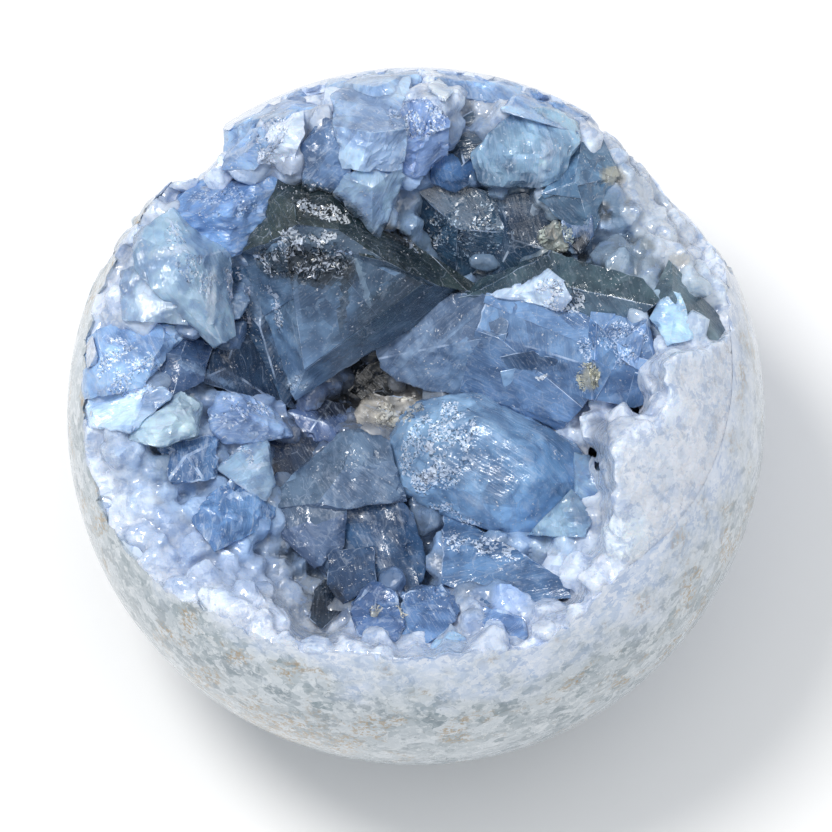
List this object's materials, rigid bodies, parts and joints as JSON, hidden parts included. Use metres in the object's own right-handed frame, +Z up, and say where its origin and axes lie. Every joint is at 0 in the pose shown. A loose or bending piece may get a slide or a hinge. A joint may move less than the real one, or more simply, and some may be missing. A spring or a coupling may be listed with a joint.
{
  "type": "celestite geode ball",
  "caption": "Polished ball of massive pale celestite with an open hollow on top, filled with blue celestite crystals, resting on a small ground flat.",
  "frame": {"origin": "middle of the ball's resting flat, at the bottom centre of the bounding box", "axes": "+Z up, the hollow opens upward and leans a little toward -Y, the front of the picture"},
  "size_m": [0.0898, 0.0898, 0.0776],
  "materials": {
    "polished_rind": "polished",
    "celestite_crystal": "gloss"
  },
  "bodies": {
    "root": {"geode_shell": "polished_rind", "crystal_crust": "celestite_crystal"}
  },
  "joints": []
}
